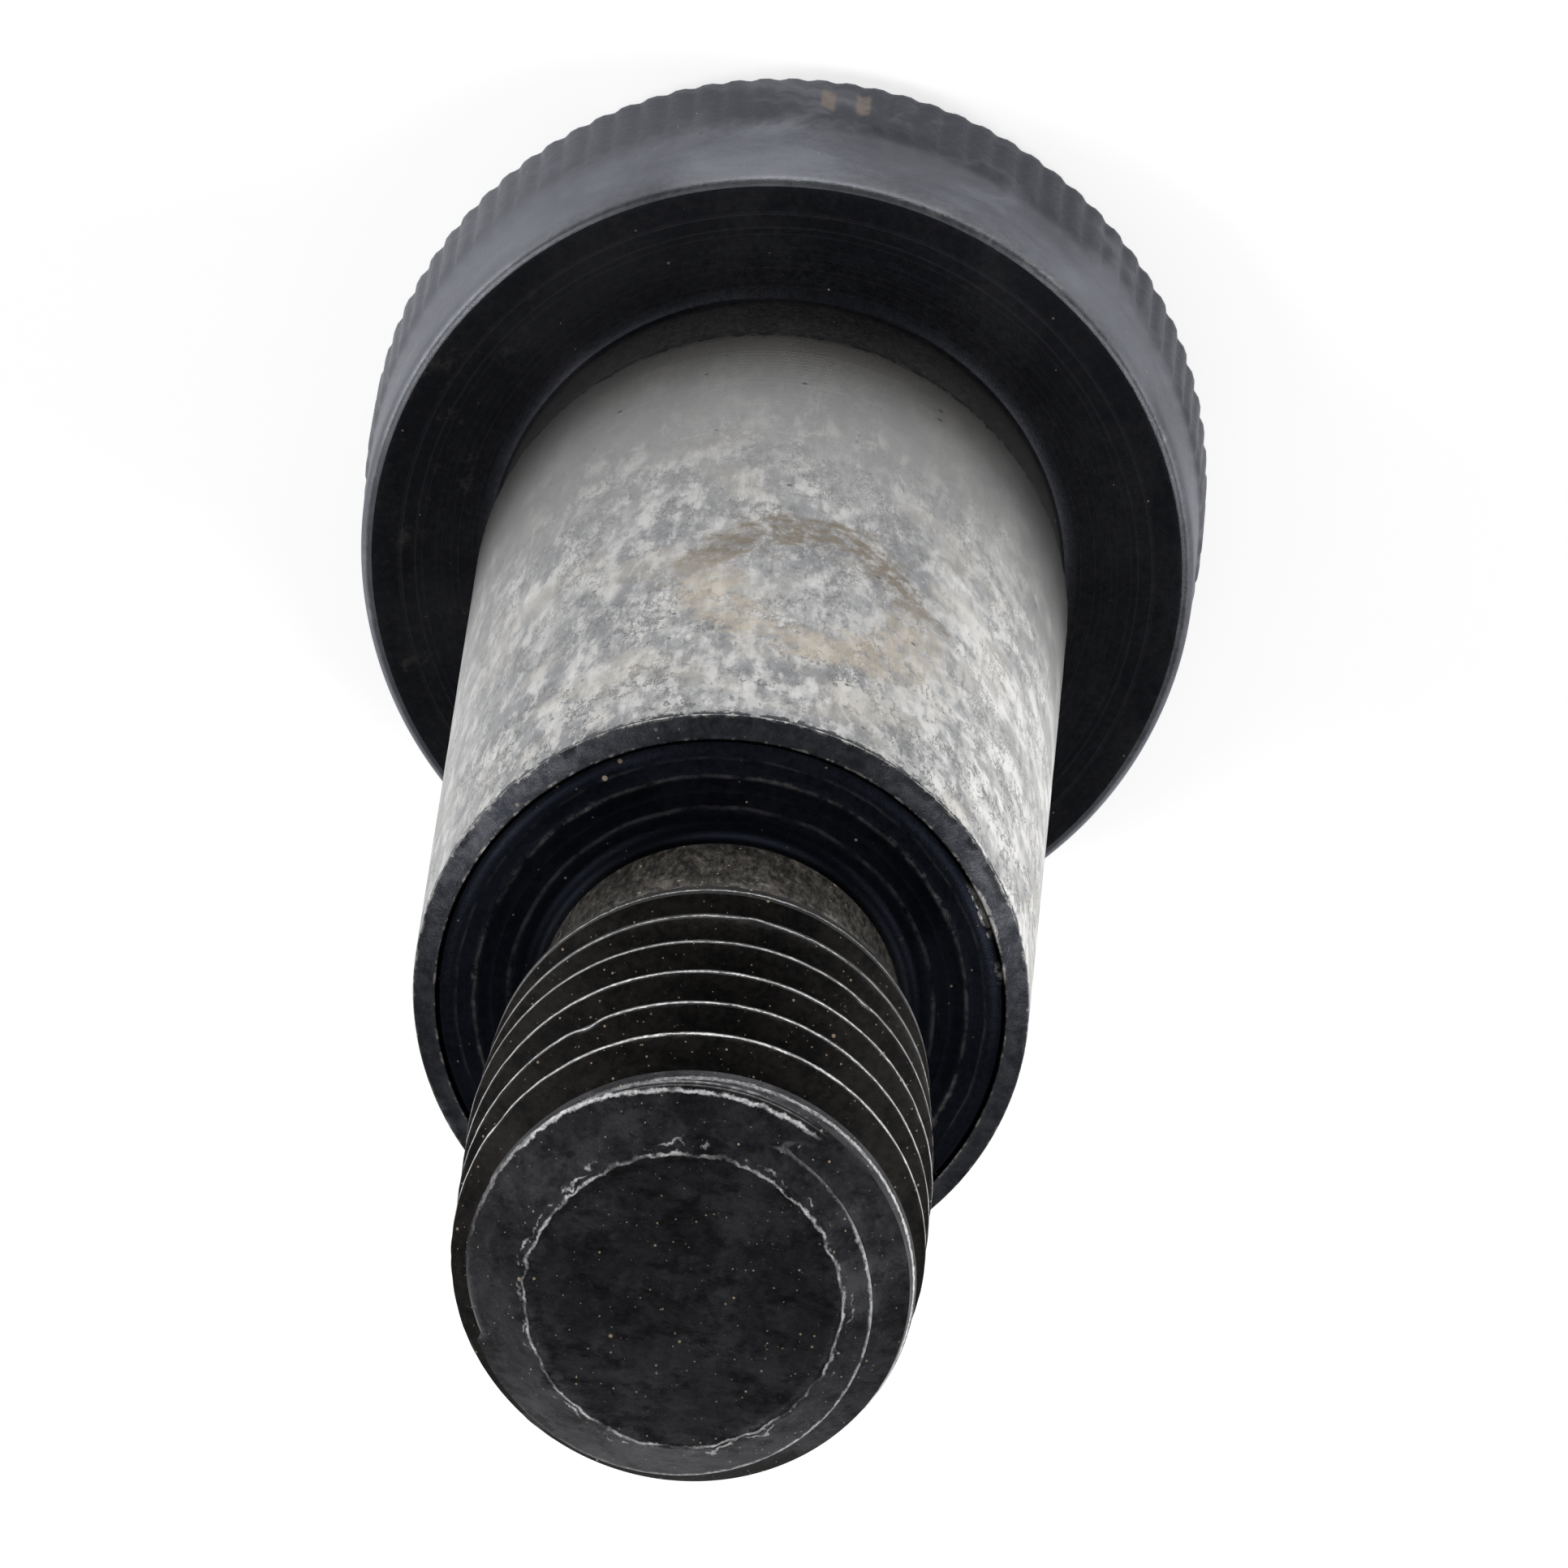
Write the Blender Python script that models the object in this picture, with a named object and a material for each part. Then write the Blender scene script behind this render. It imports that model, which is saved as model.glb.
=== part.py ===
"""Socket head shoulder screw, one forged and machined piece of alloy steel.

The screw stands on the flat top of its head with the thread pointing up, so
the axis is +Z and the origin is the centre of the head's top face.  From the
bottom up: knurled cylindrical head with a hexagon socket that opens downward,
relief groove under the head, ground shoulder, chamfered shoulder end, thread
neck, right-hand 3/8-16 thread with its run-out and its chamfered end.
All lengths are in metres.
"""
import math

import bmesh
import bpy

INCH = 0.0254

# Head
HEAD_KNURL_D = 0.01806        # over the crests of the straight knurl
HEAD_BAND_D = 0.01786         # plain band between the knurl and the bearing face
HEAD_H = 0.00635
HEAD_TOP_CHAMFER = 0.00078    # height and width of the chamfer round the top face
HEAD_BAND_H = 0.00280         # height of the plain band
HEAD_EDGE = 0.00018           # broken edge of the bearing face

# Hexagon socket
SOCKET_AF = 0.25 * INCH
SOCKET_DEPTH = 0.00470
SOCKET_TIP = 0.00085          # conical floor below the full hexagon
SOCKET_MOUTH_D = 0.00765      # countersink at the mouth

# Shoulder
SHOULDER_D = 0.01265
SHOULDER_L = 0.0240           # bearing face to shoulder end
RELIEF_D = 0.01225            # relief groove under the head
RELIEF_W = 0.00250
RELIEF_RUN = 0.00022
SHOULDER_CHAMFER_R = 0.00046
SHOULDER_CHAMFER_L = 0.00024

# Thread
THREAD_D = 0.00945
PITCH = INCH / 16.0
THREAD_L = 0.01515            # shoulder end to thread end
FLANK = math.radians(30.0)
CREST_W = PITCH / 8.0
ROOT_W = PITCH / 5.0
NECK_D = 0.00745
NECK_L = 0.00350
NECK_FILLET = 0.00055
NECK_RAMP = math.radians(45.0)
END_FLAT_D = 0.00652
END_CHAMFER = math.radians(34.8)   # from the end face
GROOVE_START = 0.0026785      # root centre above the shoulder end, on +X

SIDES = 72                    # facets round the turned body
TURN_STEPS = 48               # sections of the groove in each turn

HEAD_R = HEAD_KNURL_D / 2
BAND_R = HEAD_BAND_D / 2
SHOULDER_R = SHOULDER_D / 2
RELIEF_R = RELIEF_D / 2
THREAD_R = THREAD_D / 2
NECK_R = NECK_D / 2
END_R = END_FLAT_D / 2

Z_BEARING = HEAD_H
Z_SHOULDER = Z_BEARING + SHOULDER_L
Z_TOTAL = Z_SHOULDER + THREAD_L


def clear_scene():
    for obj in list(bpy.data.objects):
        bpy.data.objects.remove(obj, do_unlink=True)


def material(name, colour, roughness, metallic):
    mat = bpy.data.materials.new(name)
    mat.use_nodes = True
    shader = mat.node_tree.nodes["Principled BSDF"]
    shader.inputs["Base Color"].default_value = (*colour, 1.0)
    shader.inputs["Roughness"].default_value = roughness
    shader.inputs["Metallic"].default_value = metallic
    mat.diffuse_color = (*colour, 1.0)
    return mat


def new_object(name, bm):
    mesh = bpy.data.meshes.new(name)
    bm.to_mesh(mesh)
    bm.free()
    obj = bpy.data.objects.new(name, mesh)
    bpy.context.scene.collection.objects.link(obj)
    return obj


def turned(name, profile, sides, turn=0.0):
    """Closed turned solid; profile is (radius, z) from the lowest ring to the
    highest, and both ends are closed by a flat disc or by a point."""
    bm = bmesh.new()
    rings = []
    for radius, z in profile:
        if radius == 0.0:
            rings.append([bm.verts.new((0.0, 0.0, z))])
            continue
        rings.append([bm.verts.new((radius * math.cos(turn + math.tau * i / sides),
                                    radius * math.sin(turn + math.tau * i / sides), z))
                      for i in range(sides)])
    for low, high in zip(rings, rings[1:]):
        for i in range(sides):
            j = (i + 1) % sides
            if len(low) == 1:
                bm.faces.new((low[0], high[j], high[i]))
            elif len(high) == 1:
                bm.faces.new((low[i], low[j], high[0]))
            else:
                bm.faces.new((low[i], low[j], high[j], high[i]))
    if len(rings[0]) > 1:
        bm.faces.new(tuple(reversed(rings[0])))
    if len(rings[-1]) > 1:
        bm.faces.new(tuple(rings[-1]))
    return new_object(name, bm)


def arc(centre_r, centre_z, radius, start, stop, steps):
    """Points of a circular arc in the (radius, z) half plane."""
    points = []
    for k in range(steps + 1):
        a = start + (stop - start) * k / steps
        points.append((centre_r + radius * math.cos(a), centre_z + radius * math.sin(a)))
    return points


def body_profile():
    """Outline of the blank before the socket and the thread are cut."""
    z_band = Z_BEARING - HEAD_EDGE - HEAD_BAND_H
    ramp = (THREAD_R - NECK_R) / math.tan(NECK_RAMP)
    points = [
        (HEAD_R - HEAD_TOP_CHAMFER, 0.0),
        (HEAD_R, HEAD_TOP_CHAMFER),
        (HEAD_R, z_band - (HEAD_R - BAND_R)),
        (BAND_R, z_band),
        (BAND_R, Z_BEARING - HEAD_EDGE),
        (BAND_R - HEAD_EDGE, Z_BEARING),
        (RELIEF_R, Z_BEARING),
        (RELIEF_R, Z_BEARING + RELIEF_W - RELIEF_RUN),
        (SHOULDER_R, Z_BEARING + RELIEF_W),
        (SHOULDER_R, Z_SHOULDER - SHOULDER_CHAMFER_L),
        (SHOULDER_R - SHOULDER_CHAMFER_R, Z_SHOULDER),
    ]
    points += arc(NECK_R + NECK_FILLET, Z_SHOULDER + NECK_FILLET, NECK_FILLET,
                  -math.pi / 2, -math.pi, 4)
    points += [
        (NECK_R, Z_SHOULDER + NECK_L),
        (THREAD_R, Z_SHOULDER + NECK_L + ramp),
        (THREAD_R, Z_TOTAL - (THREAD_R - END_R) * math.tan(END_CHAMFER)),
        (END_R, Z_TOTAL),
    ]
    return points


def thread_groove(name):
    """Helical cutter for the right-hand groove, a trapezoid swept up the axis."""
    overshoot = 0.00010
    outer = THREAD_R + overshoot
    open_half = (PITCH - CREST_W) / 2
    root_half = ROOT_W / 2
    depth = (open_half - root_half) / math.tan(FLANK)
    section = [
        (THREAD_R - depth, -root_half),
        (THREAD_R - depth, root_half),
        (outer, open_half + overshoot * math.tan(FLANK)),
        (outer, -open_half - overshoot * math.tan(FLANK)),
    ]
    z_first = Z_SHOULDER + GROOVE_START
    z_last = Z_TOTAL + 1.2 * PITCH
    steps = int(round((z_last - z_first) / PITCH * TURN_STEPS))
    bm = bmesh.new()
    loops = []
    for k in range(steps + 1):
        angle = math.tau * k / TURN_STEPS
        z0 = z_first + PITCH * k / TURN_STEPS
        loops.append([bm.verts.new((r * math.cos(angle), r * math.sin(angle), z0 + dz))
                      for r, dz in section])
    for a, b in zip(loops, loops[1:]):
        for i in range(4):
            j = (i + 1) % 4
            bm.faces.new((a[i], b[i], b[j], a[j]))
    bm.faces.new(tuple(loops[0]))
    bm.faces.new(tuple(reversed(loops[-1])))
    bmesh.ops.recalc_face_normals(bm, faces=bm.faces)
    return new_object(name, bm)


def socket_cutter(name):
    """Hexagonal prism with a conical floor, open at the head's top face."""
    corner = SOCKET_AF / 2 / math.cos(math.pi / 6)
    return turned(name, [(corner, -0.001), (corner, SOCKET_DEPTH),
                         (0.0, SOCKET_DEPTH + SOCKET_TIP)], 6)


def socket_mouth(name):
    """Countersink that breaks the corners of the socket's mouth."""
    r = SOCKET_MOUTH_D / 2
    corner = SOCKET_AF / 2
    return turned(name, [(r + 0.0006, -0.0006), (r, 0.0),
                         (corner - 0.0004, (r - corner + 0.0004) * math.tan(math.radians(30)))],
                  48, turn=math.tau / 96)


def cut(target, cutter):
    mod = target.modifiers.new("cut_" + cutter.name, "BOOLEAN")
    mod.operation = "DIFFERENCE"
    mod.solver = "EXACT"
    mod.object = cutter
    cutter.hide_render = True
    cutter.display_type = "WIRE"


def main():
    clear_scene()
    screw = turned("shoulder_screw", body_profile(), SIDES)
    screw.data.materials.append(material("black_oxide_steel", (0.030, 0.031, 0.034), 0.45, 0.9))
    cut(screw, thread_groove("thread_groove_cutter"))
    cut(screw, socket_cutter("socket_cutter"))
    cut(screw, socket_mouth("socket_mouth_cutter"))
    screw.data.shade_smooth()
    screw.data.set_sharp_from_angle(angle=math.radians(28.0))
    bpy.context.view_layer.update()


main()
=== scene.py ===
"""Looks of the socket head shoulder screw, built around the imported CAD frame.

One closed, finely divided body replaces the CAD solid.  It is made of rings
that follow the screw's own outline: hexagon socket, knurled head, relief,
ground shoulder, stepped shoulder end, neck, and a helical lattice for the
thread, whose rows follow the crest and root lines and end in a chamfered tip.
"""
import math

import bmesh
import bpy
import numpy as np
from mathutils import Matrix, Vector


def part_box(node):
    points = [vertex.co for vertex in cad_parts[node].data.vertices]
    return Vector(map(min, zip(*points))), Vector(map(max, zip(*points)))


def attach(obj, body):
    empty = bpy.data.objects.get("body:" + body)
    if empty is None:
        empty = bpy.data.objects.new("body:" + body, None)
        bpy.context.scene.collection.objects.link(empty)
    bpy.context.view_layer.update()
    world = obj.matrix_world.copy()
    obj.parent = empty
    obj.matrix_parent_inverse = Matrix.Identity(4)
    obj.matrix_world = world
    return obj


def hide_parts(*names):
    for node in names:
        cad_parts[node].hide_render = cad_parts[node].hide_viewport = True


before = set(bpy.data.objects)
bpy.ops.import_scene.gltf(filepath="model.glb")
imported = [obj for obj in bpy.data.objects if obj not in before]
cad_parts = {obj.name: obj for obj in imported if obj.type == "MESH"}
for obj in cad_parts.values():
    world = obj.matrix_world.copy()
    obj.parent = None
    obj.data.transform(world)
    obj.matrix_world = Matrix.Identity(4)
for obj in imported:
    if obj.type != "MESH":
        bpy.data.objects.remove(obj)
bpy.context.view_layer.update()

# ----------------------------------------------------------------- dimensions
# millimetres, on the CAD's axis: z = 0 is the head's top face
low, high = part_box("shoulder_screw")
TOTAL = high[2] * 1000.0
HEAD_H = 6.35
Z_END_FACE = 30.35            # shoulder end
R_KNURL, R_BAND = 9.03, 8.93
R_SHOULDER, R_RELIEF = 6.325, 6.125
R_THREAD, R_NECK, R_TIP, R_CROWN = 4.725, 3.725, 3.16, 4.42
PITCH = 25.4 / 16.0
SOCKET_AF, SOCKET_DEPTH = 6.35, 4.70
RIDGES = 92
NH = RIDGES * 6               # points round the head
NB = NH // 2                  # points round the shoulder and thread
TAU = math.tau
rng = np.random.default_rng(20816)


# ---------------------------------------------------------------- small tools
def periodic(seed, n_waves, top, angle, falloff=0.6):
    """Smooth random function of an angle, in about -1..1."""
    r = np.random.default_rng(seed)
    out = np.zeros_like(angle, dtype=float)
    total = 0.0
    for _ in range(n_waves):
        k = int(r.integers(2, top))
        a = r.uniform(0.3, 1.0) / (k ** falloff)
        out += a * np.sin(k * angle + r.uniform(0, TAU))
        total += a * 0.5
    return out / total


def smooth(a, b, x):
    t = np.clip((x - a) / (b - a), 0.0, 1.0)
    return t * t * (3 - 2 * t)


class Body:
    """Collects vertices, faces and their attributes for one closed mesh."""

    def __init__(self):
        self.co, self.wear, self.faces, self.zone, self.marks = [], [], [], [], []
        self.n = 0

    def add(self, xyz, wear, marks=None):
        """marks: depth past the tip's edge, past the chamfer's edge, place on the pitch, cut depth."""
        xyz = np.atleast_2d(np.asarray(xyz, float))
        if marks is None:
            marks = np.broadcast_to(np.array([-9.0, -9.0, 0.0, -1.0]), (len(xyz), 4))
        self.marks.append(np.asarray(marks, float))
        wear = np.broadcast_to(np.asarray(wear, float), (len(xyz),))
        start = self.n
        self.co.append(xyz)
        self.wear.append(wear)
        self.n += len(xyz)
        return np.arange(start, self.n)

    def ring(self, radius, z, n, wear=0.0):
        a = TAU * np.arange(n) / n
        radius = np.broadcast_to(np.asarray(radius, float), (n,))
        z = np.broadcast_to(np.asarray(z, float), (n,))
        return self.add(np.column_stack([radius * np.cos(a), radius * np.sin(a), z]), wear)

    def face(self, verts, zone):
        self.faces.append(tuple(int(v) for v in verts))
        self.zone.append(zone)

    def join(self, lower, upper, zone):
        n = len(lower)
        for i in range(n):
            j = (i + 1) % n
            self.face((lower[i], lower[j], upper[j], upper[i]), zone)

    def pole_low(self, centre, ring, zone):
        n = len(ring)
        for i in range(n):
            self.face((centre, ring[(i + 1) % n], ring[i]), zone)

    def halve(self, lower, upper, zone):
        """lower ring has twice as many points as upper."""
        m = len(upper)
        for i in range(m):
            j = (i + 1) % m
            a, b, c = lower[2 * i], lower[2 * i + 1], lower[(2 * i + 2) % (2 * m)]
            self.face((a, b, upper[i]), zone)
            self.face((b, upper[j], upper[i]), zone)
            self.face((b, c, upper[j]), zone)


HEAD, GROUND, THREAD, TIP, SOCKET, FACE, END, NECK = range(8)
body = Body()
ah = TAU * np.arange(NH) / NH
ab = TAU * np.arange(NB) / NB

# ------------------------------------------------------- socket and head's top
def hexagon(af, n_angle):
    return (af / 2) / np.cos((n_angle % (TAU / 6)) - TAU / 12)


def rounded_hex(af, round_mm, n_angle):
    """Hexagon with slightly rounded corners."""
    sharp = hexagon(af, n_angle)
    corner = (af / 2) / math.cos(TAU / 12)
    return np.minimum(sharp, corner - round_mm + 0.0 * sharp)


centre = body.add([[0, 0, SOCKET_DEPTH + 0.85]], 0.0)[0]
previous = None
for k, share in enumerate((0.12, 0.35, 0.62, 0.86, 0.97)):
    ring = body.ring(rounded_hex(SOCKET_AF, 0.10, ah) * share,
                     SOCKET_DEPTH + 0.85 * (1 - share), NH)
    if previous is None:
        body.pole_low(centre, ring[::1], SOCKET)
    else:
        body.join(previous, ring, SOCKET)
    previous = ring
# the floor meets the walls, and the walls run down to the mouth
for z, widen in ((SOCKET_DEPTH + 0.03, -0.02), (SOCKET_DEPTH - 0.06, 0.0),
                 (3.3, 0.0), (1.8, 0.004), (0.62, 0.01)):
    ring = body.ring(rounded_hex(SOCKET_AF, 0.10, ah) + widen, z, NH, 0.0)
    body.join(previous, ring, SOCKET)
    previous = ring
mouth_r = 3.825
for z, t in ((0.36, 0.0), (0.22, 0.45), (0.10, 0.8), (0.015, 1.0)):
    cone = mouth_r - (z - 0.015) * math.tan(math.radians(60))
    r = np.maximum(rounded_hex(SOCKET_AF, 0.10, ah) + 0.01, cone)
    ring = body.ring(r, z, NH, 0.55 if z < 0.05 else 0.15)
    body.join(previous, ring, SOCKET)
    previous = ring
top_marks = periodic(5, 10, 14, ah) * 0.006
for r, z, w in ((3.90, 0.0, 0.35), (4.6, 0.0, 0.0), (5.7, 0.0, 0.0), (6.8, 0.0, 0.0), (7.7, 0.0, 0.0),
                (8.20, 0.0, 0.25)):
    ring = body.ring(r, z, NH, w)
    body.join(previous, ring, SOCKET)
    previous = ring

# --------------------------------------------------------------- head's outside
ridge = np.abs(((ah / TAU * RIDGES) % 1.0) - 0.5) * 2          # 1 at a ridge's crest
ridge = np.clip((1 - ridge) * 1.55, 0, 1)
cut = 0.068 * (1 - ridge)
ridge_wear = ridge * np.clip(0.10 + 0.25 * periodic(11, 12, 60, ah), 0, 1)
head_rows = []
for r, z, knurl, w in (
        (8.28, 0.03, 0.0, 0.6), (8.40, 0.15, 0.0, 0.1), (8.68, 0.42, 0.0, 0.0),
        (8.90, 0.66, 0.10, 0.05), (8.985, 0.76, 0.5, 0.3), (R_KNURL - 0.004, 0.84, 1.0, 0.6),
        (R_KNURL, 1.02, 1.0, 0.3), (R_KNURL, 1.7, 1.0, 0.25), (R_KNURL, 2.4, 1.0, 0.25),
        (R_KNURL, 2.95, 1.0, 0.3), (R_KNURL - 0.01, 3.18, 0.9, 0.3), (8.99, 3.30, 0.55, 0.1),
        (8.955, 3.40, 0.22, 0.0), (R_BAND + 0.01, 3.50, 0.05, 0.0), (R_BAND, 3.62, 0.0, 0.0),
        (R_BAND, 4.2, 0.0, 0.0), (R_BAND, 4.9, 0.0, 0.0), (R_BAND, 5.5, 0.0, 0.0),
        (R_BAND - 0.012, 5.95, 0.0, 0.0), (R_BAND - 0.035, 6.12, 0.0, 0.1),
        (R_BAND - 0.09, 6.25, 0.0, 0.35), (R_BAND - 0.17, 6.325, 0.0, 0.4),
        (R_BAND - 0.26, 6.348, 0.0, 0.15)):
    low_spots = 0.004 * periodic(23, 10, 22, ah) * (1 if knurl < 0.01 and z > 3 else 0)
    body_wear = w * (ridge_wear / 0.5 if knurl > 0.4 else 0.6 + 0.4 * periodic(31, 12, 40, ah))
    ring = body.ring(r - cut * knurl + low_spots, z, NH, np.clip(body_wear, 0, 1))
    body.join(previous, ring, HEAD)
    previous = ring

# bearing face: finely turned, with half as many points from here on
turning = rng.normal(0, 0.0016, 40)
ring = body.ring(8.60, HEAD_H, NH, 0.0)
body.join(previous, ring, FACE)
previous = ring
ring = body.ring(8.45, HEAD_H, NB, 0.0)
body.halve(previous, ring, FACE)
previous = ring
for k, r in enumerate(np.arange(8.25, 6.35, -0.2)):
    ring = body.ring(r, HEAD_H - abs(turning[k]), NB, 0.0)
    body.join(previous, ring, FACE)
    previous = ring

# relief groove, shoulder and its chamfer
relief_z = HEAD_H + 2.5
for r, z in ((R_RELIEF + 0.12, HEAD_H + 0.005), (R_RELIEF + 0.035, HEAD_H + 0.04), (R_RELIEF, HEAD_H + 0.13),
             (R_RELIEF, HEAD_H + 0.8), (R_RELIEF, HEAD_H + 1.6), (R_RELIEF, relief_z - 0.30),
             (R_RELIEF + 0.03, relief_z - 0.20), (R_RELIEF + 0.12, relief_z - 0.09),
             (R_SHOULDER - 0.02, relief_z - 0.01)):
    ring = body.ring(r, z, NB, 0.0)
    body.join(previous, ring, FACE)
    previous = ring
rim_z = Z_END_FACE - 0.24
z_rows = np.concatenate([[relief_z + 0.05], np.linspace(relief_z + 0.3, rim_z - 0.25, 38), [rim_z - 0.06]])
for k, z in enumerate(z_rows):
    lump = 0.0045 * periodic(100 + k // 2, 14, 34, ab, 0.3)
    ring = body.ring(R_SHOULDER - 0.006 + lump, z, NB, 0.0)
    body.join(previous, ring, GROUND)
    previous = ring
edge_wave = 0.018 * periodic(61, 22, 110, ab, 0.25)
ring = body.ring(R_SHOULDER - 0.012, rim_z + edge_wave, NB, 0.75)
body.join(previous, ring, GROUND)
previous = ring
nick = np.exp(-((ab - math.radians(208)) / 0.11) ** 2) + 0.6 * np.exp(-((ab - math.radians(194)) / 0.05) ** 2)
for r, z, w in ((R_SHOULDER - 0.03, rim_z + 0.035, 0.12), (R_SHOULDER - 0.20, rim_z + 0.10, 0.0),
                (R_SHOULDER - 0.36, rim_z + 0.17, 0.0), (R_SHOULDER - 0.44, rim_z + 0.215, 0.12),
                (R_SHOULDER - 0.475, Z_END_FACE - 0.004, 0.30), (R_SHOULDER - 0.50, Z_END_FACE - 0.012, 0.0),
                (R_SHOULDER - 0.53, Z_END_FACE - 0.085, 0.0), (R_SHOULDER - 0.62, Z_END_FACE - 0.10, 0.0),
                (R_SHOULDER - 0.70, Z_END_FACE - 0.06, 0.0), (R_SHOULDER - 0.86, Z_END_FACE - 0.035, 0.0),
                (5.22, Z_END_FACE - 0.03, 0.0), (5.12, Z_END_FACE - 0.012, 0.22),
                (5.04, Z_END_FACE + 0.0, 0.30), (4.96, Z_END_FACE - 0.006, 0.05),
                (4.80, Z_END_FACE - 0.008, 0.0), (4.62, Z_END_FACE - 0.004, 0.0)):
    depth = 0.05 * nick * periodic(71, 26, 120, ab, 0.2) * (1 if 5.7 < r < 5.95 else 0)
    noise = 0.004 * periodic(int(r * 100), 8, 30, ab)
    ring = body.ring(r + noise, z + np.minimum(depth, 0) * 1.0, NB,
                     np.clip(w * (1 + 0.6 * periodic(73, 18, 70, ab, 0.3)) + nick * (0.9 if 5.7 < r < 5.9 else 0), 0, 1))
    body.join(previous, ring, END)
    previous = ring

# fillet into the neck
FILLET = 0.42
for t in (0.03, 0.12, 0.25, 0.4, 0.55, 0.7, 0.85, 1.0):
    a = -math.pi / 2 - t * math.pi / 2
    r = R_NECK + FILLET + FILLET * math.cos(a)
    z = Z_END_FACE + FILLET + FILLET * math.sin(a)
    ring = body.ring(r, z, NB, 0.16 if t < 0.1 else 0.0)
    body.join(previous, ring, END)
    previous = ring
ring = body.ring(R_NECK, Z_END_FACE + 0.80, NB, 0.0)
body.join(previous, ring, NECK)
neck_ring = ring

# ------------------------------------------------------------------- thread
CREST_W = PITCH / 8
HALF_OPEN = (PITCH - CREST_W) / 2
TAN = math.tan(math.radians(30))
R_ROOT = 3.745


def thread_radius(u):
    """Radius of the thread's own outline, u from the middle of a root."""
    u = np.abs(u)
    flank = R_THREAD - (HALF_OPEN - u) / TAN
    root = 3.703 + 4.124 * u * u
    r = np.where(u < 0.21, root, flank)
    r = np.minimum(r, R_THREAD)
    return np.maximum(r, R_ROOT)


NECK_L, RAMP = 3.50, 1.0
TIP_SLOPE = math.radians(34.3)
z_neck = Z_END_FACE + NECK_L
z_ramp = z_neck + RAMP
cone_len = (R_CROWN - R_TIP) * math.tan(TIP_SLOPE)
z_cone = TOTAL - cone_len


def blank_radius(z):
    r = np.where(z < z_neck, R_NECK, np.minimum(R_NECK + (z - z_neck), 4.475 + (z - 34.8) * 0.066))
    r = np.minimum(r, R_THREAD)
    cone = R_TIP + (TOTAL - z) / math.tan(TIP_SLOPE)
    crown = R_CROWN + (z_cone - z) * 0.28
    return np.minimum(np.minimum(r, crown), cone)


half = [0.10, 0.17, 0.23, 0.34, 0.46, 0.58, 0.655, 0.690, 0.718]
knots = np.array([0.0] + half + [PITCH / 2] + [PITCH - h for h in reversed(half)])
K = len(knots)
root0 = Z_END_FACE + 2.6785 - PITCH          # middle of a root at angle 0
turns = int(math.ceil((TOTAL + 0.15 - root0) / PITCH))
M = turns * K                                 # rows 0..M at angle 0, and up to M + K at the seam
row_index = np.arange(M + 1)
row_u = knots[row_index % K]
row_s = root0 + PITCH * (row_index // K) + row_u
row_phase = np.where(row_u > PITCH / 2, row_u - PITCH, row_u)
S = row_s[None, :] + PITCH * (np.arange(NB)[:, None] / NB)      # [i, j]
U = np.broadcast_to(row_phase[None, :], S.shape).copy()
U_of = lambda s, i: ((s - root0 - PITCH * i / NB + PITCH / 2) % PITCH) - PITCH / 2

flag = np.zeros(S.shape, int)
crest_mask = np.abs(row_phase) > HALF_OPEN - 0.02


def snap(i, s_c, name):
    """Moves the nearest row of column i onto a crease."""
    j = int(np.argmin(np.abs(S[i] - s_c)))
    if flag[i, j] == 0 and 0 < j < M:
        S[i, j] = s_c
        U[i, j] = U_of(s_c, i)
        flag[i, j] = name


fine = np.linspace(z_cone - 1.2, TOTAL, 620)
fine_neck = np.linspace(z_neck, z_ramp + 0.05, 260)
for i in range(NB):
    snap(i, TOTAL, 1)
    snap(i, z_cone, 2)
    for grid, base in ((fine, 10), (fine_neck, 20)):
        diff = thread_radius(U_of(grid, i)) - blank_radius(grid)
        cross = np.nonzero((diff[:-1] < 0) != (diff[1:] < 0))[0]
        for c in cross:
            t = diff[c] / (diff[c] - diff[c + 1])
            s_c = grid[c] + t * (grid[c + 1] - grid[c])
            snap(i, s_c, base + (1 if diff[c] < 0 else 2))

# wear: crests are rubbed bright, more so towards the tip
theta = np.broadcast_to(ab[:, None], S.shape)
rim_noise = 0.055 * periodic(201, 30, 46, ab, 0.45)[:, None]
R = np.minimum(thread_radius(U), blank_radius(S))
on_tip = S > TOTAL + 1e-9
Zc = np.minimum(S, TOTAL)
R = np.where(on_tip, R_TIP - (S - TOTAL) * 1.0, R)
rim = smooth(0.35, 0.0, np.abs(S - TOTAL))
R = R + rim_noise * rim
# lip thrown up round the flat, uneven
lip = 0.020 * np.exp(-((S - TOTAL) / 0.07) ** 2) * (0.7 + 0.5 * periodic(205, 24, 60, ab, 0.3))[:, None]
Zc = Zc + np.where(S > TOTAL - 0.2, np.clip(lip, 0, 0.04) - 0.04 * smooth(TOTAL, TOTAL + 0.2, S), 0)
Zc = np.minimum(Zc, TOTAL)
cut_here = thread_radius(U) < blank_radius(S) - 1e-6
crest = (np.abs(U) > HALF_OPEN - 0.012) & ~on_tip & (S > z_neck + 0.5)
along = S + 0 * theta
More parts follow.
